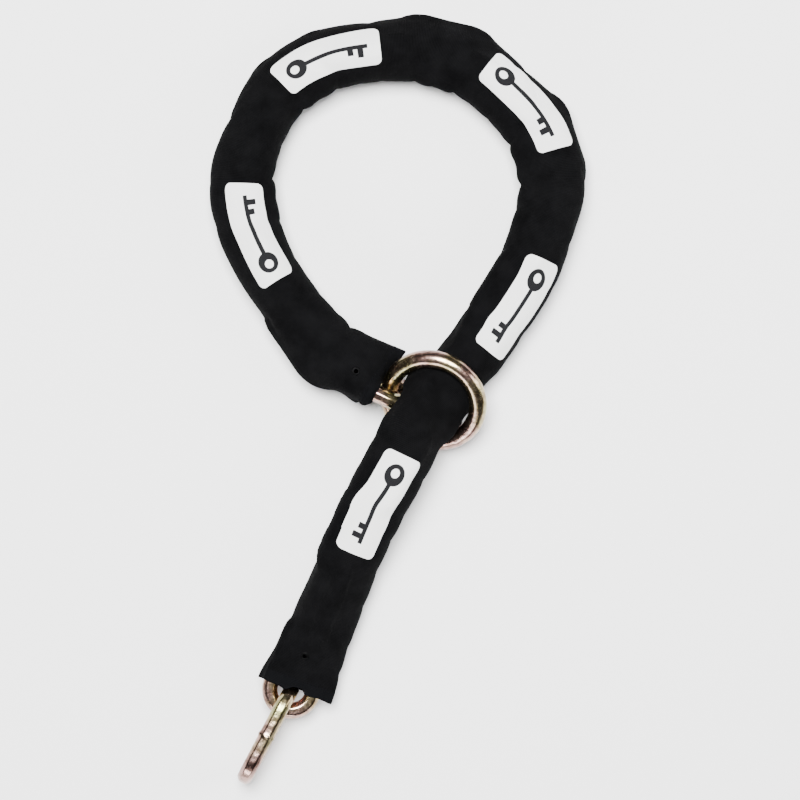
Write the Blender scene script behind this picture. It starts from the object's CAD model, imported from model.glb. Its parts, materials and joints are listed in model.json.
"""Looks of a chain lock: a square-link chain in a woven sleeve, threaded through its own ring.

All lengths are in metres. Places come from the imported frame: the links, the ring and the joints.
"""
import json
import math

import bmesh
import bpy
import numpy as np
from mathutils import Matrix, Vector, noise


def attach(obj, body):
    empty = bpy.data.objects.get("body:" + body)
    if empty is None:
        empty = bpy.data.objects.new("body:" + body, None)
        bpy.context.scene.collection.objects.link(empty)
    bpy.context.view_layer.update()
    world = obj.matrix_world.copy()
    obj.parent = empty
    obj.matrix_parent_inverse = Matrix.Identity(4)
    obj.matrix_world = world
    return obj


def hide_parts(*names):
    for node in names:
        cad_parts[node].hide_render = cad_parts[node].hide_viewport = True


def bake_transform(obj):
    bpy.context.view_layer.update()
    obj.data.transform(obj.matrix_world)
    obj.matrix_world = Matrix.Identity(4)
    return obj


MM = 0.001
UP = np.array((0.0, 0.0, 1.0))

# The sleeve
CLOTH_AROUND = 0.160        # length of cloth round the tube
CLOTH_GAP = 1.3 * MM        # the cloth stands off the bars by this much
CHAIN_GAP = 0.6 * MM        # no fold comes nearer to a bar than this
BAR_SPARE = 1.08            # a bar is taken this much thicker where the cloth is kept off it
END_SWING = math.radians(30)  # the end link turns this far both ways about the vertical
FLOOR_GAP = 0.5 * MM        # the cloth lies this high over the ground
WIDEST = 25.5 * MM          # half of the widest that the sleeve spreads
ROUNDNESS = 18 * MM         # half of the height of the sleeve's own oval
RING_MOUTH = 11 * MM        # from the middle of the ring link to the sleeve's edge
TAIL_MOUTH = 18.5 * MM      # from the middle of the last sleeved link to the sleeve's edge
MOUTH_SHIFT = 6.5 * MM      # the sleeve hangs over this far inside the loop at the ring link
OUTSIDE = 2.8 * MM          # and elsewhere it lies this far outside the chain's own curve
HEM = 9 * MM                # depth of the turned hem at each end
HEM_THICK = 1.2 * MM        # from its outer layer to its inner one
STITCHES = 8 * MM           # from the sleeve's edge to the line of stitches that holds the hem
STEP = 2 * MM               # distance between two rows of the sleeve's mesh
AROUND = 112                # points round each row
BRIDGE = 9 * MM             # the cloth bridges hollows shorter than twice this
SPREAD = 6 * MM             # how softly it goes from one link to the next

# The sleeve's simulation, which is done at a larger size to suit the solver
SIM_SCALE = 10
SIM_FRAMES = 24
SIM_REACH = 9 * MM          # no point of the cloth moves further than this
PRESSURE = 4                # how firmly the cloth holds itself open
HELD_SHARE = 0.85           # near the ring this share of the simulated movement is left out:
HELD_PAST = 45 * MM         # round a place this far past the ringed link,
HELD_LENGTH = 95 * MM       # and about this far to both sides
GATHER = 1.04               # the cloth is at least this much longer than the way it lies
FOLD_SHARE = 0.35           # how much is added of the creases that the simulation is too coarse for

# How the ring and the two mouths shape the sleeve
FIRST_RING_GAP = 1.5 * MM   # from the ring to the cloth before the simulation
RING_GAP = 1.4 * MM         # and after it
RING_LINK_GAP = 1.7 * MM    # from the ring link to the cloth of the tail
CROSSING_REACH = 75 * MM    # the ring touches the tail no further than this from the ringed link
MOUTH_REACH = 40 * MM       # and the sleeve's start no further in than this
EDGE_REACH = 28 * MM        # the mouths' uneven edges draw the cloth along as far as this
NICK_PLACE, NICK_WIDTH = 0.485, 0.045  # of a gap in the tail's mouth, as shares of the way round
NICK_DEPTH, NICK_REACH = 4.5 * MM, 7 * MM

# The printed patches: how far along the sleeve, and how far down from its top towards the left
FIRST_PATCH = 158 * MM      # from the ring mouth to the middle of the first patch
PATCH_PITCH = 170 * MM      # and from each to the next round the loop
PATCH_DRIFT = 5.5 * MM      # each lies this much further down the sleeve's side than the one before
LOOP_PATCHES = [(FIRST_PATCH + k * PATCH_PITCH, k * PATCH_DRIFT - 3 * MM) for k in range(4)]
TAIL_PATCH = (866 * MM, 4 * MM)
PATCHES = [*LOOP_PATCHES, TAIL_PATCH]
PATCH_HALF = (0.042, 0.0175)

# The eyelets, and the layers of cloth that each goes through: 1 the upper, -1 the lower
EYELET_SIDES = (("eyelet_ring_end", 1), ("eyelet_tail_end", 1), ("eyelet_tail_end", -1))
EYELET_HOLE = 2.3 * MM      # the cloth is cut away this far from an eyelet's middle

LINKS = ["ring_link"] + [f"chain_link_{k:02d}" for k in range(2, 19)] + ["end_link"]
SLEEVED = 18                # the links from the first that are in the sleeve
RINGED = 14                 # the link that lies in the ring


# ---------------------------------------------------------------- camera, light and floor

def make_camera():
    """Straight down, with the ground's middle near the middle of the frame."""
    distance, seen = 1.9, 0.632
    data = bpy.data.cameras.new("camera")
    data.sensor_width = 36
    data.lens = data.sensor_width * distance / seen
    camera = bpy.data.objects.new("camera", data)
    bpy.context.scene.collection.objects.link(camera)
    camera.location = (0.4 * MM, -0.8 * MM, distance + 25 * MM)
    bpy.context.scene.camera = camera


def area_light(name, place, target, size, power):
    data = bpy.data.lights.new(name, "AREA")
    data.shape = "RECTANGLE"
    data.size, data.size_y = size
    data.energy = power
    lamp = bpy.data.objects.new(name, data)
    bpy.context.scene.collection.objects.link(lamp)
    lamp.location = place
    lamp.rotation_euler = (Vector(target) - Vector(place)).to_track_quat("-Z", "Y").to_euler()


def make_studio():
    """Soft lights round the object, under a ceiling that is dark straight above and pale at its sides."""
    world = bpy.data.worlds.new("studio")
    bpy.context.scene.world = world
    world.use_nodes = True
    nodes, links = world.node_tree.nodes, world.node_tree.links
    height = nodes.new("ShaderNodeSeparateXYZ")
    links.new(nodes.new("ShaderNodeTexCoord").outputs["Generated"], height.inputs[0])
    ceiling = nodes.new("ShaderNodeValToRGB")
    ceiling.color_ramp.elements[0].position = 0.03
    ceiling.color_ramp.elements[0].color = (0.95, 0.97, 1, 1)
    ceiling.color_ramp.elements[1].position = 0.28
    ceiling.color_ramp.elements[1].color = (0.03, 0.03, 0.03, 1)
    links.new(height.outputs["Z"], ceiling.inputs[0])
    links.new(ceiling.outputs[0], nodes["Background"].inputs["Color"])
    nodes["Background"].inputs["Strength"].default_value = 0.7
    area_light("top", (-0.2, 0.55, 2.5), (0, 0, 0), (1.1, 1.1), 265)
    area_light("right", (2.1, 0.2, 1.0), (0, 0, 0), (0.8, 1.8), 45)
    area_light("low", (-0.8, -2.1, 0.9), (0, 0, 0), (1.8, 0.6), 45)


def make_floor():
    mesh = bpy.data.meshes.new("floor")
    r = 6
    mesh.from_pydata([(-r, -r, 0), (r, -r, 0), (r, r, 0), (-r, r, 0)], [], [(0, 1, 2, 3)])
    floor = bpy.data.objects.new("floor", mesh)
    bpy.context.scene.collection.objects.link(floor)
    material = bpy.data.materials.new("floor")
    material.use_nodes = True
    shader = material.node_tree.nodes["Principled BSDF"]
    shader.inputs["Base Color"].default_value = (0.95, 0.95, 0.95, 1)
    shader.inputs["Roughness"].default_value = 0.9
    shader.inputs["Specular IOR Level"].default_value = 0.1
    mesh.materials.append(material)


# ---------------------------------------------------------------- where the frame's pieces lie

def node_points(node):
    mesh = frame["nodes"][node].data
    points = np.empty(len(mesh.vertices) * 3)
    mesh.vertices.foreach_get("co", points)
    return points.reshape(-1, 3)


class Place:
    """A CAD piece's own axes, longest first, its middle and its half sizes along them."""

    def __init__(self, node):
        points = node_points(node)
        spread = points - points.mean(0)
        axes = np.linalg.svd(spread, full_matrices=False)[2]
        along = points @ axes.T
        low, high = along.min(0), along.max(0)
        self.axes = axes
        self.middle = (low + high) / 2 @ axes
        self.half = (high - low) / 2

    def at(self, local):
        """Local points, given along the three axes, in the row frame."""
        return self.middle + local @ self.axes


def link_places():
    places = [Place(name) for name in LINKS]
    for here, there in zip(places, places[1:] + places[-2:-1]):
        towards_tail = there.middle - here.middle
        if here is places[-1]:
            towards_tail = -towards_tail
        if here.axes[0] @ towards_tail < 0:
            here.axes[0] *= -1
        if np.linalg.det(here.axes) < 0:
            here.axes[2] *= -1
    return places


def joint_place(name):
    return np.array(next(j for j in frame["joints"] if j["name"] == name)["pos_m"])


def hinges():
    names = [f"bend_{k:02d}" for k in range(1, SLEEVED)]
    return np.array([joint_place(name) for name in names])


def racetrack(place, count):
    """Points and outward directions round a link's bar, in its own axes, evenly spaced."""
    bar = place.half[2]
    bow = place.half[1] - bar
    straight = place.half[0] - place.half[1]
    leg, turn = 2 * straight, math.pi * bow
    whole = 2 * leg + 2 * turn
    points, outward = [], []
    for s in np.arange(count) * whole / count:
        side = 1 if s < leg + turn else -1
        s = s % (leg + turn)
        if s < leg:
            point, out = (straight - s, bow), (0, 1)
        else:
            a = math.pi / 2 + (s - leg) / bow
            point, out = (-straight + bow * math.cos(a), bow * math.sin(a)), (math.cos(a), math.sin(a))
        points.append((side * point[0], side * point[1], 0))
        outward.append((side * out[0], side * out[1], 0))
    return np.array(points), np.array(outward)


# ---------------------------------------------------------------- shaping the sleeve

def smooth_rows(values, width, closed=False):
    """Each row averaged with those within about width rows."""
    reach = int(math.ceil(3 * width))
    weight = np.exp(-0.5 * (np.arange(-reach, reach + 1) / width) ** 2)
    weight /= weight.sum()
    padded = np.pad(values, [(reach, reach)] + [(0, 0)] * (values.ndim - 1), "wrap" if closed else "edge")
    return sum(w * padded[i:i + len(values)] for i, w in enumerate(weight))


def spaced(points, step):
    length = np.r_[0, np.cumsum(np.linalg.norm(np.diff(points, axis=0), axis=1))]
    count = int(round(length[-1] / step)) + 1
    at = np.linspace(0, length[-1], count)
    return np.stack([np.interp(at, length, points[:, i]) for i in range(3)], 1)


def sleeve_line():
    """The line that the sleeve follows, from the ring's mouth to the tail's, every STEP."""
    first, last = LINK[0], LINK[SLEEVED - 1]
    extra = 60 * MM
    corners = np.vstack([
        first.middle - (RING_MOUTH + extra) * first.axes[0],
        hinges(),
        last.middle + (TAIL_MOUTH + extra) * last.axes[0],
    ])
    line = spaced(corners, 1 * MM)
    line = smooth_rows(line, 17)
    start = np.argmin(np.linalg.norm(line - (first.middle - RING_MOUTH * first.axes[0]), axis=1))
    end = np.argmin(np.linalg.norm(line - (last.middle + TAIL_MOUTH * last.axes[0]), axis=1))
    line = spaced(line[start:end + 1], STEP)
    along = np.arange(len(line)) * STEP
    crossing = along[np.argmin(np.linalg.norm(line - LINK[RINGED - 1].middle, axis=1))]
    at_mouth = ease(1 - (along - 20 * MM) / (120 * MM))
    in_ring = ease(1.4 - np.abs(along - crossing) / (45 * MM))
    shift = OUTSIDE * (1 - at_mouth) * (1 - in_ring) - MOUTH_SHIFT * at_mouth
    line += shift[:, None] * sleeve_axes(line)[1]
    return spaced(line, STEP)


def unit(v):
    return v / np.linalg.norm(v, axis=-1, keepdims=True)


def sleeve_axes(line):
    """Forward, left and up at each point of the line."""
    forward = unit(np.gradient(line, axis=0))
    left = unit(np.cross(UP, forward))
    return forward, left, np.cross(forward, left)


def link_rows(line):
    """The row of the sleeve nearest the middle of each sleeved link, counted along the sleeve."""
    return np.array([np.argmin(np.linalg.norm(line - place.middle, axis=1)) for place in LINK[:SLEEVED]])


def ease(x):
    x = np.clip(x, 0, 1)
    return x * x * (3 - 2 * x)


def sections(line, forward, left, up):
    """How far the cloth reaches in each direction round the line: the support of its outline.

    The outline is the hull of the bars near by and of an oval, as wide as the cloth's length allows."""
    angle = np.arange(360) * math.tau / 360
    turn = np.stack([np.cos(angle), np.sin(angle)])
    bars = np.array([place.at(racetrack(place, 90)[0]) for place in LINK[:SLEEVED + 1]])
    thick = LINK[1].half[2] * 1.1 + CLOTH_GAP
    reach = np.zeros((len(line), len(angle)))
    nearest = link_rows(line)
    for i, centre in enumerate(line):
        k = np.argmin(np.abs(nearest - i))
        near = (bars[max(k - 1, 0):k + 2] - centre).reshape(-1, 3)
        near = near[np.abs(near @ forward[i]) < BRIDGE]
        if len(near):
            flat = np.stack([near @ left[i], near @ up[i]], 1)
            reach[i] = (flat @ turn).max(0) + thick
    reach = smooth_rows(reach, SPREAD / STEP)
    along = np.arange(len(line)) * STEP
    to_tail_end = along[-1] - along
    flare = ease(1 - to_tail_end / (45 * MM))[:, None]
    mouth = ease(1 - along / (35 * MM))[:, None]
    crossing = link_rows(line)[RINGED - 1] * STEP
    in_ring = ease(1.3 - np.abs(along - crossing) / (26 * MM))[:, None]
    high = ROUNDNESS - 11 * MM * flare - 5 * MM * mouth - 10 * MM * in_ring
    widest = WIDEST + 5.5 * MM * flare + 2 * MM * mouth + 3.5 * MM * in_ring
    low, wide = np.zeros((len(line), 1)), widest + 0
    for _ in range(24):
        half = (low + wide) / 2
        oval = np.sqrt((half * turn[0]) ** 2 + (high * turn[1]) ** 2)
        round_it = np.maximum(reach, oval).sum(1, keepdims=True) * math.tau / 360
        too_long = round_it > CLOTH_AROUND
        wide = np.where(too_long, half, wide)
        low = np.where(too_long, low, half)
    oval = np.sqrt((low * turn[0]) ** 2 + (high * turn[1]) ** 2)
    reach = np.maximum(reach, oval)
    return smooth_rows(reach, 1.5), angle


def outline(reach, angle):
    """Points of an outline from its support, evenly spaced, from the bottom round by the left side."""
    slope = (np.roll(reach, -1) - np.roll(reach, 1)) / (2 * (angle[1] - angle[0]))
    x = reach * np.cos(angle) - slope * np.sin(angle)
    y = reach * np.sin(angle) + slope * np.cos(angle)
    bearing = np.unwrap(np.arctan2(y, x))
    bearing = np.concatenate([bearing - math.tau, bearing, bearing + math.tau])
    asked = np.linspace(-math.pi / 2, 1.5 * math.pi, 721)
    x = np.interp(asked, bearing, np.tile(x, 3))
    y = np.interp(asked, bearing, np.tile(y, 3))
    length = np.r_[0, np.cumsum(np.hypot(np.diff(x), np.diff(y)))]
    at = np.linspace(0, length[-1], AROUND + 1)
    return np.interp(at, length, x), np.interp(at, length, y)


def crease(along, around, at, side, depth, width, lean, span):
    """How far a crease moves the cloth outwards: a narrow groove with a low swelling past each lip.

    It is deepest at side, a share of the way round, and fades out span away from it."""
    off = (around - side + 0.5) % 1 - 0.5
    x = along - at - lean * off * CLOTH_AROUND
    fade = np.where(np.abs(off) < span, np.cos(off / span * math.pi / 2) ** 2, 0)
    groove = -1 / (1 + (x / width) ** 2) ** 1.5
    swelling = 0.35 * np.exp(-((np.abs(x) - 3.2 * width) / (1.8 * width)) ** 2)
    return depth * fade * (groove + swelling)


def bend_at(k):
    """How far the chain turns at hinge k, in degrees, positive to the left."""
    before, after = LINK[k].axes[0], LINK[k + 1].axes[0]
    return math.degrees(math.atan2(before[0] * after[1] - before[1] * after[0], before[:2] @ after[:2]))


def folds(line, along, around):
    """How far the folds move the cloth outwards. The deep ones gather on the inside of each bend."""
    rng = np.random.default_rng(5)
    moved = np.zeros(np.broadcast(along, around).shape)
    at = [np.argmin(np.linalg.norm(line - hinge, axis=1)) * STEP for hinge in hinges()]
    for k, here in enumerate(at):
        bend = bend_at(k)
        side = 0.75 if bend < 0 else 0.25
        depth = np.clip(abs(bend) * 0.17, 1.5, 5.0) * MM
        lean = rng.uniform(-0.5, 0.5)
        turned = side + rng.uniform(-0.03, 0.03)
        moved += crease(along, around, here, turned, depth, 3.6 * MM, lean, 0.30)
        there = at[k + 1] if k + 1 < len(at) else along.max()
        if there - here > 66 * MM or k > 11:
            between = here + rng.uniform(0.4, 0.6) * (there - here)
            shallow = rng.uniform(1.4, 2.4) * MM
            turned = side + rng.uniform(-0.04, 0.04)
            moved += crease(along, around, between, turned, shallow, 3.2 * MM, -lean, 0.2)
        across = rng.uniform(1.0, 2.0) * MM
        near_by = here + rng.uniform(-14, 14) * MM
        moved += crease(along, around, near_by, 1 - side, across, 4 * MM, lean, 0.18)
    for _ in range(110):
        place = rng.uniform(0, along.max())
        side = rng.uniform(0, 1)
        depth = rng.uniform(0.25, 0.9) * MM
        width = rng.uniform(2, 4.5) * MM
        lean = rng.uniform(-1.5, 1.5)
        moved += crease(along, around, place, side, depth, width, lean, rng.uniform(0.08, 0.22))
    return moved


def solid_thing(name, points, faces):
    """Something that the cloth rests on in its simulation."""
    mesh = bpy.data.meshes.new(name)
    mesh.from_pydata([tuple(p * SIM_SCALE) for p in points], [], faces)
    thing = bpy.data.objects.new(name, mesh)
    bpy.context.scene.collection.objects.link(thing)
    thing.modifiers.new("collision", "COLLISION")
    thing.collision.thickness_outer = 0.3 * MM * SIM_SCALE
    thing.collision.cloth_friction = 8
    return thing


def ring_and_ground():
    count, sides = 72, 14
    ring = Place("loop_ring")
    bar = ring.half[2]
    turn = np.arange(count)[:, None] * math.tau / count
    circle = np.arange(sides)[None] * math.tau / sides
    out = ring.half[0] - bar + bar * np.cos(circle)
    local = np.stack([out * np.cos(turn), out * np.sin(turn), bar * np.sin(circle) + 0 * turn], -1)
    r = 1.0
    ground = np.array([(-r, -r, 0), (r, -r, 0), (r, r, 0), (-r, r, 0)])
    return [solid_thing("ring", ring.at(local).reshape(-1, 3), grid_faces(count, sides, True, True)),
            solid_thing("ground", ground, [(0, 1, 2, 3)])]


def settle(grid, line):
    """Simulates the sleeve, cut as a straight tube, bent round the loop. Thick cloth holds itself open.

    Each coarse point moves by what the simulation says, up to SIM_REACH, and the rest follow smoothly.
    Where the tail passes through the ring the cloth would bulge too far, so most of that is left out."""
    scene = bpy.context.scene
    coarse = grid[::2, :-1:2]
    rows, columns = coarse.shape[:2]
    spacing = np.linalg.norm(np.diff(coarse, axis=0), axis=-1)
    cut = np.maximum(np.percentile(spacing, 90, axis=1), 2 * STEP * GATHER)
    cut = smooth_rows(cut, 4)
    length = np.r_[0, np.cumsum(cut)]
    turn = np.arange(columns) * math.tau / columns
    radius = CLOTH_AROUND / math.tau
    flat = np.stack(np.broadcast_arrays(length[:, None], radius * np.cos(turn), radius * np.sin(turn)), -1)
    mesh = bpy.data.meshes.new("sleeve_in_simulation")
    faces = grid_faces(rows, columns, False, True)
    mesh.from_pydata([tuple(p * SIM_SCALE) for p in coarse.reshape(-1, 3)], [], faces)
    tube = bpy.data.objects.new("sleeve_in_simulation", mesh)
    scene.collection.objects.link(tube)
    tube.shape_key_add(name="as_laid")
    as_cut = tube.shape_key_add(name="as_cut")
    as_cut.data.foreach_set("co", (flat * SIM_SCALE).ravel())
    held = tube.vertex_groups.new(name="held")
    held.add([*range(2 * columns), *range((rows - 2) * columns, rows * columns)], 1.0, "REPLACE")
    cloth = tube.modifiers.new("cloth", "CLOTH")
    cloth.settings.quality = 8
    cloth.settings.mass = 0.3
    cloth.settings.tension_stiffness = 40
    cloth.settings.compression_stiffness = 30
    cloth.settings.shear_stiffness = 12
    cloth.settings.bending_stiffness = 4
    cloth.settings.air_damping = 2
    cloth.settings.use_pressure = True
    cloth.settings.uniform_pressure_force = PRESSURE
    cloth.settings.effector_weights.gravity = 0
    cloth.settings.vertex_group_mass = "held"
    cloth.settings.rest_shape_key = as_cut
    cloth.collision_settings.distance_min = 0.4 * MM * SIM_SCALE
    cloth.collision_settings.collision_quality = 3
    things = ring_and_ground()
    for frame_number in range(1, SIM_FRAMES + 1):
        scene.frame_set(frame_number)
    settled = tube.evaluated_get(bpy.context.evaluated_depsgraph_get()).data
    points = np.empty(rows * columns * 3)
    settled.vertices.foreach_get("co", points)
    moved = points.reshape(rows, columns, 3) / SIM_SCALE - coarse
    for thing in [tube, *things]:
        bpy.data.objects.remove(thing)
    scene.frame_set(1)
    far = np.linalg.norm(moved, axis=-1, keepdims=True)
    moved *= SIM_REACH * np.tanh(far / SIM_REACH) / np.maximum(far, 1e-9)
    held_at = link_rows(line)[RINGED - 1] / 2 + HELD_PAST / (2 * STEP)
    from_ring = (np.arange(rows) - held_at) * 2 * STEP / HELD_LENGTH
    moved *= (1 - HELD_SHARE * np.exp(-from_ring ** 4))[:, None, None]
    moved = np.concatenate([moved, moved[:, :1]], axis=1)
    row_at = np.minimum(np.arange(len(grid)) / 2, rows - 1)
    column_at = np.arange(AROUND + 1) / 2
    fine = np.empty((rows, AROUND + 1, 3))
    for i, row in np.ndindex(3, rows):
        fine[row, :, i] = np.interp(column_at, np.arange(columns + 1), moved[row, :, i])
    coarse_rows, fine = fine, np.empty(grid.shape)
    for i, column in np.ndindex(3, AROUND + 1):
        fine[:, column, i] = np.interp(row_at, np.arange(rows), coarse_rows[:, column, i])
    fine = smooth_rows(fine, 0.8)
    fine = np.transpose(smooth_rows(np.transpose(fine[:, :-1], (1, 0, 2)), 0.8, closed=True), (1, 0, 2))
    return grid + np.concatenate([fine, fine[:, :1]], axis=1)


def over(grid, normal, node, side):
    """The row and column of the cloth over (side 1) or under (side -1) the middle of a CAD piece."""
    away = np.linalg.norm(grid[..., :2] - Place(node).middle[:2], axis=-1)
    return np.unravel_index(np.argmin(away + (side * normal[..., 2] < 0.3)), away.shape)


def dimples(grid, along, around):
    """How far the cloth moves outwards round the eyelets, which pinch it in small creases."""
    normal = normals(grid)
    moved = np.zeros(grid.shape[:2])
    for node, side in EYELET_SIDES:
        row, column = over(grid, normal, node, side)
        x = along - row * STEP
        y = ((around - column / AROUND + 0.5) % 1 - 0.5) * CLOTH_AROUND
        away, bearing = np.hypot(x, y), np.arctan2(y, x)
        spokes = np.cos(5 * bearing + 1.0) * np.exp(-((away - 9 * MM) / (6 * MM)) ** 2)
        moved += (0.35 * spokes - 1.5 * np.exp(-(away / (8 * MM)) ** 2)) * MM * (1 if side > 0 else 0.3)
    return moved


def torus_distance(points, ring):
    """From the ring's surface, negative inside its bar."""
    local = (points - ring.middle) @ ring.axes.T
    bar = ring.half[2]
    middle = ring.half[0] - bar
    return np.hypot(np.hypot(local[..., 0], local[..., 1]) - middle, local[..., 2]) - bar


def bar_distance(points, bars, thick):
    """From the surface of a bar that follows these points."""
    flat = points.reshape(-1, 3)
    nearest = np.full(len(flat), np.inf)
    for bar in bars:
        nearest = np.minimum(nearest, ((flat - bar) ** 2).sum(1))
    return np.sqrt(nearest).reshape(points.shape[:-1]) - thick


def press(grid, line, distance, gap):
    """Pulls the cloth in towards the sleeve's own line, until what presses on it is no longer in between."""
    away = grid - line[:, None]
    share = np.ones(grid.shape[:2])
    steps = np.linspace(1, 0.15, 52)
    for step, before in zip(steps, steps[1:]):
        share = np.where(distance(line[:, None] + step * away) < gap, before, share)
    moved = (1 - share) * np.linalg.norm(away, axis=-1)
    soft = smooth_rows(smooth_rows(moved, 1.8).T, 1.4, closed=True).T
    return grid - np.maximum(moved, soft)[..., None] * unit(away)


def ring_edge(around):
    """How far the mouth at the ring reaches on past its middle, round its edge."""
    turn = around * math.tau
    return (0.6 - 5 * np.sin(turn) + 0.8 * np.sin(3 * turn + 2) + 0.3 * np.sin(7 * turn)) * MM


def tail_edge(around):
    """The same at the tail's mouth."""
    turn = around * math.tau
    return (1.0 * np.sin(turn + 2.2) + 0.4 * np.cos(4 * turn) + 0.2 * np.sin(8 * turn + 1)) * MM


def chain_surface():
    """Points on the surface of each link's bar, link by link, with the end link swung both ways as well."""
    count, circle = 150, np.arange(16) * math.tau / 16
    links = []
    for place in LINK[:SLEEVED + 1]:
        middle, outward = racetrack(place, count)
        bar = place.half[2] * BAR_SPARE
        across = np.cos(circle)[None, :, None] * outward[:, None] * bar
        points = middle[:, None] + across + np.sin(circle)[None, :, None] * np.array((0, 0, bar))
        links.append(place.at(points.reshape(-1, 3)))
    pivot = joint_place("end_link_swing")
    swung = []
    for turn in (-END_SWING, 0, END_SWING):
        c, s = math.cos(turn), math.sin(turn)
        swung.append((links[-1] - pivot) @ np.array(((c, s, 0), (-s, c, 0), (0, 0, 1))) + pivot)
    links[-1] = np.concatenate(swung)
    return links


def clear_of_chain(grid, line, forward, left, up, gap):
    """Moves the cloth out to this gap where it would cut into the links inside.

    Out is away from the sleeve's line, and each point is compared with the row that it lies beside."""
    links = chain_surface()
    nearest = link_rows(line)
    bins = 120
    farthest = np.zeros((len(line), bins))
    for i, centre in enumerate(line):
        k = np.argmin(np.abs(nearest - i))
        near = np.concatenate(links[max(k - 1, 0):k + 2]) - centre
        near = near[np.abs(near @ forward[i]) < 3 * MM]
        x, y = near @ left[i], near @ up[i]
        which = (np.arctan2(y, x) / math.tau * bins).astype(int) % bins
        np.maximum.at(farthest[i], which, np.hypot(x, y))
    farthest = np.maximum(np.maximum(farthest, np.roll(farthest, 1, 1)), np.roll(farthest, -1, 1))
    rows = np.arange(len(line))[:, None]
    ahead = ((grid - line[:, None]) * forward[:, None]).sum(-1) / STEP
    rows = np.clip(np.rint(rows + ahead).astype(int), 0, len(line) - 1)
    away = grid - line[rows]
    x = (away * left[rows]).sum(-1)
    y = (away * up[rows]).sum(-1)
    share = (np.arctan2(y, x) / math.tau) % 1 * bins
    low = share.astype(int) % bins
    need = np.maximum(farthest[rows, low], farthest[rows, (low + 1) % bins]) + gap
    short = np.maximum(need - np.hypot(x, y), 0)
    soft = smooth_rows(smooth_rows(short, 2).T, 1.6, closed=True).T
    out = unit(x[..., None] * left[rows] + y[..., None] * up[rows])
    return grid + np.maximum(short, soft)[..., None] * out


def sleeve_surface():
    """The whole sleeve's outer surface as rows of points, and its outward directions."""
    line = sleeve_line()
    forward, left, up = sleeve_axes(line)
    reach, angle = sections(line, forward, left, up)
    rows = []
    for i, centre in enumerate(line):
        x, y = outline(reach[i], angle)
        rows.append(centre + x[:, None] * left[i] + y[:, None] * up[i])
    grid = np.array(rows)
    along = (np.arange(len(line)) * STEP)[:, None]
    around = np.linspace(0, 1, AROUND + 1)[None]
    calm = 0.25 + 0.75 * ease(np.minimum(along, along.max() - along) / (25 * MM))
    ring = Place("loop_ring")
    grid[:, :, 2] = np.maximum(grid[:, :, 2], 2 * FLOOR_GAP)
    grid = press(grid, line, lambda p: torus_distance(p, ring), FIRST_RING_GAP)
    grid = settle(grid, line)
    grid += (FOLD_SHARE * folds(line, along, around) * calm)[..., None] * normals(grid)
    grid += dimples(grid, along, around)[..., None] * normals(grid)
    to_tail_end = along.max() - along
    for edge, way, shape in ((along, -1, ring_edge), (to_tail_end, 1, tail_edge)):
        near = ease(1 - edge / EDGE_REACH)
        grid += (way * near * shape(around))[..., None] * forward[:, None]
    nick = np.exp(-((around - NICK_PLACE) / NICK_WIDTH) ** 4) * ease(1 - to_tail_end / NICK_REACH)
    grid -= (NICK_DEPTH * nick)[..., None] * forward[:, None]
    from_mouth = np.minimum(along, to_tail_end)
    for_hem = HEM_THICK * ease((HEM + 8 * MM - from_mouth) / (6 * MM))
    grid = clear_of_chain(grid, line, forward, left, up, CHAIN_GAP + for_hem)
    grid[:, :, 2] = np.maximum(grid[:, :, 2], FLOOR_GAP)
    first = LINK[0]
    bars = first.at(racetrack(first, 70)[0])
    crossing = np.abs(along[:, 0] - link_rows(line)[RINGED - 1] * STEP) < CROSSING_REACH
    near_ring = crossing | (along[:, 0] < MOUTH_REACH)
    grid[crossing] = press(grid[crossing], line[crossing],
                           lambda p: bar_distance(p, bars, BAR_SPARE * first.half[2]), RING_LINK_GAP)
    grid[near_ring] = press(grid[near_ring], line[near_ring], lambda p: torus_distance(p, ring), RING_GAP)
    grid = clear_of_chain(grid, line, forward, left, up, for_hem)
    grid[:, :, 2] = np.maximum(grid[:, :, 2], FLOOR_GAP)
    grid[:, -1] = grid[:, 0]
    return grid, normals(grid)


def normals(grid):
    """Outward normals of a tube given as rows of points whose last column repeats the first."""
    ahead = np.gradient(grid, axis=0)
    wrapped = np.concatenate([grid[:, -2:-1], grid, grid[:, 1:2]], axis=1)
    beside = wrapped[:, 2:] - wrapped[:, :-2]
    return unit(np.cross(beside, ahead))


# ---------------------------------------------------------------- making pieces

def mesh_piece(name, points, faces, material, smooth=True):
    mesh = bpy.data.meshes.new(name)
    mesh.from_pydata([tuple(p) for p in points], [], faces)
    mesh.polygons.foreach_set("use_smooth", [smooth] * len(mesh.polygons))
    mesh.materials.append(material)
    piece = bpy.data.objects.new(name, mesh)
    bpy.context.scene.collection.objects.link(piece)
    return piece


def grid_faces(rows, columns, close_rows=False, close_columns=False):
    """Faces of a grid of points, row by row, closed on itself either way."""
    faces = []
    for i in range(rows if close_rows else rows - 1):
        for j in range(columns if close_columns else columns - 1):
            below, beside = (i + 1) % rows, (j + 1) % columns
            here, there = i * columns, below * columns
            faces.append((here + j, here + beside, there + beside, there + j))
    return faces


def set_uv(piece, name, values):
    """A UV layer from one pair of values for each vertex."""
    mesh = piece.data
    corner = np.empty(len(mesh.loops), int)
    mesh.loops.foreach_get("vertex_index", corner)
    layer = mesh.uv_layers.new(name=name)
    layer.uv.foreach_set("vector", values[corner].astype(np.float32).ravel())


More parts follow.
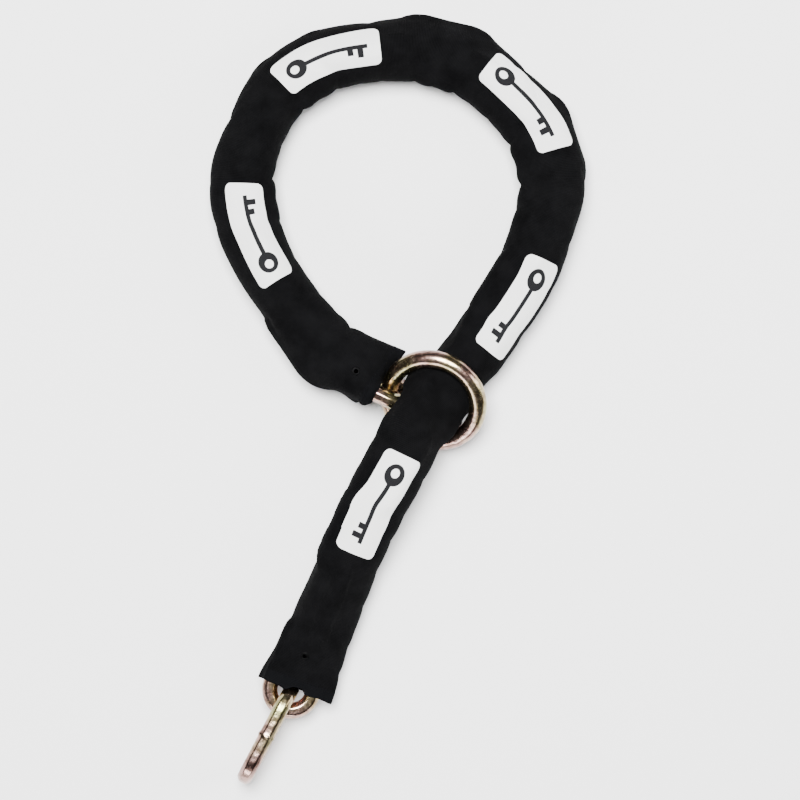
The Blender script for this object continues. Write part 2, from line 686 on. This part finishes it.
def hemmed(grid, along, normal, at_start):
    """The rows that turn the cloth in at a mouth, as a hem."""
    if at_start:
        edge, outward, ahead, way = grid[0], normal[0], unit(grid[0] - grid[2]), -1
        place = along[0]
    else:
        edge, outward, ahead, way = grid[-1], normal[-1], unit(grid[-1] - grid[-3]), 1
        place = along[-1]
    steps = [(0.5, 0.15), (0.75, 0.5), (0.5, 0.85), (-0.5, 1.1), (-3, 1.15), (-HEM / MM, HEM_THICK / MM)]
    rows = [edge + a * MM * ahead - b * MM * outward for a, b in steps]
    run = np.cumsum([0.6, 0.6, 0.7, 1.1, 2.5, 6]) * MM * way
    return np.array(rows), place + run


def make_sleeve(grid, normal, material, thread):
    """One length of cloth from the middle of each link to the middle of the next, bending at their joint."""
    along = np.arange(len(grid)) * STEP
    around = np.linspace(0, 1, AROUND + 1)
    cuts = link_rows(sleeve_line())
    cuts[0], cuts[-1] = 0, len(grid) - 1
    for k, (start, end) in enumerate(zip(cuts, cuts[1:])):
        points, facing, place = grid[start:end + 1], normal[start:end + 1], along[start:end + 1]
        if k == 0:
            rows, run = hemmed(grid, along, normal, True)
            points = np.concatenate([rows[::-1], points])
            facing = np.concatenate([-np.repeat(facing[:1], len(rows), 0), facing])
            place = np.r_[run[::-1], place]
        if k == SLEEVED - 2:
            rows, run = hemmed(grid, along, normal, False)
            points = np.concatenate([points, rows])
            facing = np.concatenate([facing, -np.repeat(facing[-1:], len(rows), 0)])
            place = np.r_[place, run]
        name = f"sleeve_cloth_{k + 1:02d}"
        faces = grid_faces(len(points), AROUND + 1)
        piece = mesh_piece(name, points.reshape(-1, 3), faces, material)
        v = np.broadcast_to(place[:, None], points.shape[:2])
        u = np.broadcast_to(around[None] * CLOTH_AROUND, points.shape[:2])
        set_uv(piece, "cloth", np.stack([u, v], -1).reshape(-1, 2))
        set_uv(piece, "patch", patch_places(u, v).reshape(-1, 2))
        cut_holes(piece, [grid[over(grid, normal, *spot)] for spot in EYELET_SIDES])
        if 0 < k < SLEEVED - 2:
            piece.data.normals_split_custom_set_from_vertices(facing.reshape(-1, 3))
        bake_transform(piece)
        stands_for = [f"sleeve_{k + 1:02d}"] + (["sleeve_18"] if k == SLEEVED - 2 else [])
        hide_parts(*stands_for)
        if k == 0:
            row = int(STITCHES / STEP)
            make_stitches("stitches_ring_mouth", "segment_01", grid[row], normal[row], thread)
        if k == SLEEVED - 2:
            row = len(grid) - 1 - int(STITCHES / STEP)
            make_stitches("stitches_tail_mouth", "segment_18", grid[row], normal[row], thread)


def cut_holes(piece, middles):
    """Takes away the faces within an eyelet's hole."""
    if not any(np.linalg.norm(np.array(v.co) - m) < 4 * MM for m in middles for v in piece.data.vertices):
        return
    cut = bmesh.new()
    cut.from_mesh(piece.data)
    inside = [face for face in cut.faces for m in middles
              if (face.calc_center_median() - Vector(m)).length < EYELET_HOLE]
    bmesh.ops.delete(cut, geom=inside, context="FACES")
    cut.to_mesh(piece.data)
    cut.free()


def make_stitches(name, body, row, outward, material):
    """A line of short stitches along a row of the cloth."""
    count, rings, sides = 44, 9, 8
    at = np.linspace(0, 1, len(row))
    points, faces = [], []
    for k in range(count):
        share = (k + np.linspace(0.12, 0.80, rings)) / count
        middle = np.stack([np.interp(share, at, row[:, i]) for i in range(3)], 1)
        up = unit(np.stack([np.interp(share, at, outward[:, i]) for i in range(3)], 1))
        ahead = unit(np.gradient(middle, axis=0))
        side = np.cross(up, ahead)
        swell = np.sin(np.linspace(0.06, math.pi - 0.06, rings))
        for i in range(rings):
            for a in np.arange(sides) * math.tau / sides:
                thick = 0.36 * MM * swell[i] ** 0.5
                lift = (0.30 * swell[i] - 0.12) * MM
                rise = up[i] * (lift + thick * math.sin(a))
                points.append(middle[i] + rise + side[i] * thick * math.cos(a))
        first = k * rings * sides
        last = first + (rings - 1) * sides
        faces += [tuple(first + n for n in face) for face in grid_faces(rings, sides, False, True)]
        faces += [tuple(reversed(range(first, first + sides))), tuple(range(last, last + sides))]
    piece = mesh_piece(name, points, faces, material)
    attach(piece, body)
    return piece


def patch_places(u, v):
    """Each point's place on the nearest printed patch: along it, and across it."""
    middles = np.array([s for s, _ in PATCHES])
    nearest = np.abs(v[..., None] - middles).argmin(-1)
    down = np.array([d for _, d in PATCHES])[nearest]
    x = v - middles[nearest]
    far = np.abs(x) > PATCH_HALF[0] + 5 * MM
    return np.stack([x, np.where(far, 1.0, CLOTH_AROUND / 2 - down - u)], -1)


def bar_profile(count):
    """Outline of the square bar with its bevelled and worn edges, for a bar of half thickness 1."""
    angle = np.arange(count) * math.tau / count
    bevel = 1.05
    faces = [(math.cos(a), math.sin(a), bevel if i % 2 else 1.0) for i, a in
             enumerate(np.arange(8) * math.tau / 8)]
    hard = sum(np.maximum(0, (np.cos(angle) * c + np.sin(angle) * s) / h) ** 36 for c, s, h in faces)
    radius = hard ** (-1 / 36)
    return np.stack([radius * np.cos(angle), radius * np.sin(angle)], 1)


def make_link(name, node, material, body, weld_side=0, rough=0.12, seed=0):
    """A chain link swept from its bar, with a butt weld across one leg, as forged and plated."""
    place = LINK[LINKS.index(node)]
    count, sides = 420, 48
    middle, outward = racetrack(place, count)
    profile = bar_profile(sides)
    bar = place.half[2]
    upright = np.array((0, 0, 1.0))
    rows = []
    for i in range(count):
        across, rise = profile[:, :1] * bar, profile[:, 1:] * bar
        rows.append(middle[i] + across * outward[i] + rise * upright)
    grid = np.array(rows)
    out = unit(grid - middle[:, None])
    lift = np.array([[noise.noise(Vector(p * 260 + seed)) * 0.5 + noise.noise(Vector(p * 900 + seed)) * 0.25
                      for p in row] for row in grid]) * rough * MM
    if weld_side:
        from_weld = np.abs(middle[:, 0]) + 1 * (np.sign(middle[:, 1]) != weld_side)
        ragged = 1 + 0.5 * np.sin(np.arange(sides) * math.tau / sides * 5 + 1)
        lift -= 0.10 * MM
        lift += (0.55 * MM * np.exp(-(from_weld / (1.5 * MM)) ** 2))[:, None] * ragged
    grid = grid + lift[..., None] * out
    points = place.at(grid.reshape(-1, 3))
    piece = mesh_piece(name, points, grid_faces(count, sides, True, True), material)
    if np.linalg.det(place.axes) < 0:
        piece.data.flip_normals()
    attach(piece, body)
    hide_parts(node)
    return piece


def make_ring(material):
    ring = Place("loop_ring")
    bar = ring.half[2]
    middle = ring.half[0] - bar
    count, sides = 360, 56
    turn = np.arange(count)[:, None] * math.tau / count
    round_bar = np.arange(sides)[None] * math.tau / sides
    out = middle + bar * np.cos(round_bar)
    grid = np.stack([out * np.cos(turn), out * np.sin(turn), bar * np.sin(round_bar) + 0 * turn], -1)
    lift = np.array([[noise.noise(Vector(p * 120)) for p in row] for row in grid]) * 0.10 * MM
    weld = ((turn - 1.1 + math.pi) % math.tau) - math.pi
    lift = lift + 0.28 * MM * np.exp(-(weld * middle / (2.5 * MM)) ** 2) - 0.12 * MM
    hub = np.stack([middle * np.cos(turn), middle * np.sin(turn), 0 * turn], -1)
    grid = grid + lift[..., None] * unit(grid - hub)
    points = ring.middle + grid.reshape(-1, 3) @ ring.axes
    piece = mesh_piece("plated_ring", points, grid_faces(count, sides, True, True), material)
    if np.linalg.det(ring.axes) > 0:
        piece.data.flip_normals()
    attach(piece, "ring")
    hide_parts("loop_ring")


def make_eyelet(name, node, body, grid, normal, material):
    """A pressed eyelet: a rolled flange on each layer of cloth that it goes through, and its tube."""
    face = [(1.5, -1.2), (1.5, 0.15), (1.65, 0.45), (2.1, 0.62), (2.9, 0.55), (3.6, 0.2), (3.8, -0.25)]
    count = 48
    rows = []
    for side in [side for of, side in EYELET_SIDES if of == node]:
        row, column = over(grid, normal, node, side)
        place, up = grid[row, column], unit(normal[row - 1, column] + normal[row + 1, column])
        ahead = unit(grid[row + 1, column] - grid[row - 1, column])
        beside = np.cross(UP * side, ahead) * side
        shape = face[::-1] if side > 0 else face
        flat = 1.0 if side > 0 else 0.6
        for r, z in shape:
            rows.append([place + (r * math.cos(a) * ahead + r * math.sin(a) * beside + z * flat * up) * MM
                         for a in np.arange(count) * math.tau / count])
    points = np.array(rows)
    points[..., 2] = np.maximum(points[..., 2], 0.1 * MM)
    piece = mesh_piece(name, points.reshape(-1, 3), grid_faces(len(rows), count, False, True), material)
    piece.modifiers.new("round", "SUBSURF").levels = 1
    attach(piece, body)
    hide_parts(node)


# ---------------------------------------------------------------- materials

class Nodes:
    """Short ways to build a material's nodes."""

    def __init__(self, name):
        self.material = bpy.data.materials.new(name)
        self.material.use_nodes = True
        self.tree = self.material.node_tree
        self.shader = self.tree.nodes["Principled BSDF"]

    def add(self, kind, **settings):
        node = self.tree.nodes.new(kind)
        for name, value in settings.items():
            setattr(node, name, value)
        return node

    def link(self, source, target):
        self.tree.links.new(source, target)

    def fill(self, socket, value):
        if isinstance(value, (int, float)):
            socket.default_value = value
        else:
            self.link(value, socket)

    def math(self, operation, *values, clamp=False):
        node = self.add("ShaderNodeMath", operation=operation, use_clamp=clamp)
        for socket, value in zip(node.inputs, values):
            self.fill(socket, value)
        return node.outputs[0]

    def uv(self, name):
        split = self.add("ShaderNodeSeparateXYZ")
        self.link(self.add("ShaderNodeUVMap", uv_map=name).outputs[0], split.inputs[0])
        return split.outputs[0], split.outputs[1]

    def noise(self, scale, detail=2.0, rough=0.5, stretch=None):
        node = self.add("ShaderNodeTexNoise")
        node.inputs["Scale"].default_value = scale
        node.inputs["Detail"].default_value = detail
        node.inputs["Roughness"].default_value = rough
        place = self.add("ShaderNodeTexCoord").outputs["Object"]
        if stretch:
            mapping = self.add("ShaderNodeMapping")
            mapping.inputs["Scale"].default_value = stretch
            self.link(place, mapping.inputs[0])
            place = mapping.outputs[0]
        self.link(place, node.inputs["Vector"])
        return node.outputs["Fac"]

    def ramp(self, value, *stops):
        node = self.add("ShaderNodeValToRGB")
        ramp = node.color_ramp
        while len(ramp.elements) < len(stops):
            ramp.elements.new(0.5)
        for element, (at, color) in zip(ramp.elements, stops):
            element.position = at
            element.color = (*color, 1)
        self.link(value, node.inputs[0])
        return node.outputs[0]

    def mix(self, share, a, b):
        node = self.add("ShaderNodeMix", data_type="RGBA")
        self.fill(node.inputs["Factor"], share)
        for socket, value in ((node.inputs["A"], a), (node.inputs["B"], b)):
            if isinstance(value, tuple):
                socket.default_value = (*value, 1)
            else:
                self.link(value, socket)
        return node.outputs["Result"]

    def bump(self, height, distance, strength=1.0, normal=None):
        node = self.add("ShaderNodeBump")
        node.inputs["Distance"].default_value = distance
        node.inputs["Strength"].default_value = strength
        self.link(height, node.inputs["Height"])
        if normal:
            self.link(normal, node.inputs["Normal"])
        return node.outputs[0]

    def box(self, x, y, middle, half, corner=0.0):
        """Distance from a rectangle with round corners, negative inside it."""
        off_x = self.math("ABSOLUTE", self.math("SUBTRACT", x, middle[0]))
        off_y = self.math("ABSOLUTE", self.math("SUBTRACT", y, middle[1]))
        dx = self.math("SUBTRACT", off_x, half[0] - corner)
        dy = self.math("SUBTRACT", off_y, half[1] - corner)
        over_x, over_y = self.math("MAXIMUM", dx, 0.0), self.math("MAXIMUM", dy, 0.0)
        square_x = self.math("MULTIPLY", over_x, over_x)
        square = self.math("ADD", square_x, self.math("MULTIPLY", over_y, over_y))
        inside = self.math("MINIMUM", self.math("MAXIMUM", dx, dy), 0.0)
        return self.math("SUBTRACT", self.math("ADD", self.math("SQRT", square), inside), corner)

    def disc(self, x, y, middle, radius):
        dx, dy = self.math("SUBTRACT", x, middle[0]), self.math("SUBTRACT", y, middle[1])
        square = self.math("ADD", self.math("MULTIPLY", dx, dx), self.math("MULTIPLY", dy, dy))
        return self.math("SUBTRACT", self.math("SQRT", square), radius)

    def inside(self, distance, soft=0.12 * MM):
        """1 inside an outline and 0 outside it."""
        share = self.math("DIVIDE", distance, -2 * soft)
        return self.math("ADD", share, 0.5, clamp=True)


def key_mark(n, x, y):
    """A plain key: a bow with a round hole, a shaft and two bits."""
    bow_x = -26 * MM
    bow = n.math("MAXIMUM", n.disc(x, y, (bow_x, 0), 8.5 * MM),
                 n.math("MULTIPLY", n.disc(x, y, (bow_x - 1.5 * MM, 0), 3.6 * MM), -1.0))
    shaft = n.box(x, y, (6 * MM, 0), (26 * MM, 1.9 * MM), 0.6 * MM)
    key = n.math("MINIMUM", bow, shaft)
    for at, deep in ((18 * MM, 3.4 * MM), (26 * MM, 4.6 * MM)):
        key = n.math("MINIMUM", key, n.box(x, y, (at, -deep), (2.4 * MM, deep), 0.5 * MM))
    return key


def woven_sleeve(length):
    """Black ribbed cloth with printed light patches and a stitched hem at each end."""
    n = Nodes("woven_sleeve")
    u, v = n.uv("cloth")
    x, y = n.uv("patch")
    rib, yarn = 1.15 * MM, 0.75 * MM
    ribs = n.math("SINE", n.math("MULTIPLY", v, math.tau / rib))
    twill = n.math("SINE", n.math("MULTIPLY", n.math("ADD", u, n.math("MULTIPLY", v, 0.5)), math.tau / yarn))
    weave = n.math("ADD", n.math("MULTIPLY", ribs, 0.6), n.math("MULTIPLY", twill, 0.4))
    patch = n.inside(n.box(x, y, (0, 0), PATCH_HALF, 5 * MM))
    ink = n.inside(key_mark(n, x, y))
    printed = n.mix(ink, (0.80, 0.80, 0.79), (0.010, 0.010, 0.011))
    yarn_tone = n.math("ADD", n.math("MULTIPLY", weave, 0.35), n.math("MULTIPLY", n.noise(60, 4, 0.6), 1.2))
    cloth = n.ramp(yarn_tone, (0.15, (0.0008, 0.0008, 0.0009)), (1.0, (0.0042, 0.0042, 0.0046)))
    from_end = n.math("MINIMUM", v, n.math("SUBTRACT", length, v))
    at_hem = n.math("MULTIPLY", n.inside(n.math("SUBTRACT", from_end, HEM), 0.5 * MM), 0.5)
    cloth = n.mix(at_hem, cloth, (0.0030, 0.0032, 0.0038))
    n.link(n.mix(patch, cloth, printed), n.shader.inputs["Base Color"])
    rough = n.math("SUBTRACT", 0.88, n.math("MULTIPLY", patch, 0.32))
    n.link(rough, n.shader.inputs["Roughness"])
    fine = n.bump(weave, 0.16 * MM, 0.55)
    crumple = n.bump(n.noise(120, 4, 0.55), 0.9 * MM, 0.5, fine)
    n.link(crumple, n.shader.inputs["Normal"])
    n.shader.inputs["Sheen Weight"].default_value = 0.004
    n.shader.inputs["Sheen Roughness"].default_value = 0.45
    n.shader.inputs["Specular IOR Level"].default_value = 0.02
    return n.material


def plated_steel():
    """Zinc plate with yellow chromate: gold, pink and olive tints over a slightly hammered bar."""
    n = Nodes("plated_steel")
    tint = n.ramp(n.noise(34, 3, 0.55), (0.32, (0.33, 0.33, 0.16)), (0.45, (0.43, 0.34, 0.21)),
                  (0.56, (0.45, 0.29, 0.25)), (0.68, (0.24, 0.15, 0.13)))
    grime = n.ramp(n.noise(170, 5, 0.62), (0.36, (0.34, 0.29, 0.22)), (0.58, (1, 1, 1)))
    mixed = n.add("ShaderNodeMix", data_type="RGBA", blend_type="MULTIPLY")
    mixed.inputs["Factor"].default_value = 0.8
    n.link(tint, mixed.inputs["A"])
    n.link(grime, mixed.inputs["B"])
    n.link(mixed.outputs["Result"], n.shader.inputs["Base Color"])
    n.shader.inputs["Metallic"].default_value = 1.0
    rough = n.math("ADD", n.math("MULTIPLY", n.noise(420, 4, 0.6), 0.24), 0.12)
    n.link(rough, n.shader.inputs["Roughness"])
    hammered = n.bump(n.noise(300, 3, 0.6), 0.25 * MM, 0.35)
    n.link(n.bump(n.noise(1800, 2, 0.5), 0.06 * MM, 0.4, hammered), n.shader.inputs["Normal"])
    return n.material


def eyelet_metal():
    n = Nodes("eyelet_metal")
    n.link(n.ramp(n.noise(700, 3), (0.35, (0.0008, 0.0008, 0.0009)), (0.7, (0.0025, 0.0025, 0.0027))),
           n.shader.inputs["Base Color"])
    n.shader.inputs["Specular IOR Level"].default_value = 0.03
    n.link(n.math("ADD", n.math("MULTIPLY", n.noise(1500, 2), 0.3), 0.35), n.shader.inputs["Roughness"])
    return n.material


def sewing_thread():
    """Black twisted thread."""
    n = Nodes("sewing_thread")
    twist = n.noise(2600, 2, 0.5, stretch=(1, 1, 3))
    color = n.ramp(twist, (0.3, (0.0012, 0.0012, 0.0014)), (0.7, (0.004, 0.004, 0.0046)))
    n.link(color, n.shader.inputs["Base Color"])
    n.shader.inputs["Roughness"].default_value = 0.8
    n.shader.inputs["Specular IOR Level"].default_value = 0.03
    n.link(n.bump(twist, 0.08 * MM, 0.6), n.shader.inputs["Normal"])
    return n.material


# ---------------------------------------------------------------- the scene

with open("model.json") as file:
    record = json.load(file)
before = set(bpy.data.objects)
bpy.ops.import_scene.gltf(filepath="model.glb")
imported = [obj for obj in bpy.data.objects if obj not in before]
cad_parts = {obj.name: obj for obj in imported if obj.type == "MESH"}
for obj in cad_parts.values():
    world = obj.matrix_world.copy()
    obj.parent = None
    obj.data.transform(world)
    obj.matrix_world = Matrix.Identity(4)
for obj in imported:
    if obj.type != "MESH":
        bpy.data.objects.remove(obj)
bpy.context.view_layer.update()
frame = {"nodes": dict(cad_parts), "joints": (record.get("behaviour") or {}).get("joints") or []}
LINK = link_places()
make_camera()
make_studio()
make_floor()
steel, black = plated_steel(), eyelet_metal()
sleeve, outward = sleeve_surface()
cloth = woven_sleeve((len(sleeve) - 1) * STEP)
make_sleeve(sleeve, outward, cloth, sewing_thread())
make_ring(steel)
make_link("plated_ring_link", "ring_link", steel, "segment_01", seed=3)
make_link("plated_tail_link", "chain_link_18", steel, "segment_18", seed=11)
make_link("plated_end_link", "end_link", steel, "end", weld_side=-1, rough=0.18, seed=23)
for node in LINKS[1:SLEEVED - 1]:
    slots = frame["nodes"][node].data.materials
    slots.clear()
    slots.append(steel)
make_eyelet("eyelet_ring_mouth", "eyelet_ring_end", "segment_01", sleeve, outward, black)
make_eyelet("eyelet_tail_mouth", "eyelet_tail_end", "segment_18", sleeve, outward, black)
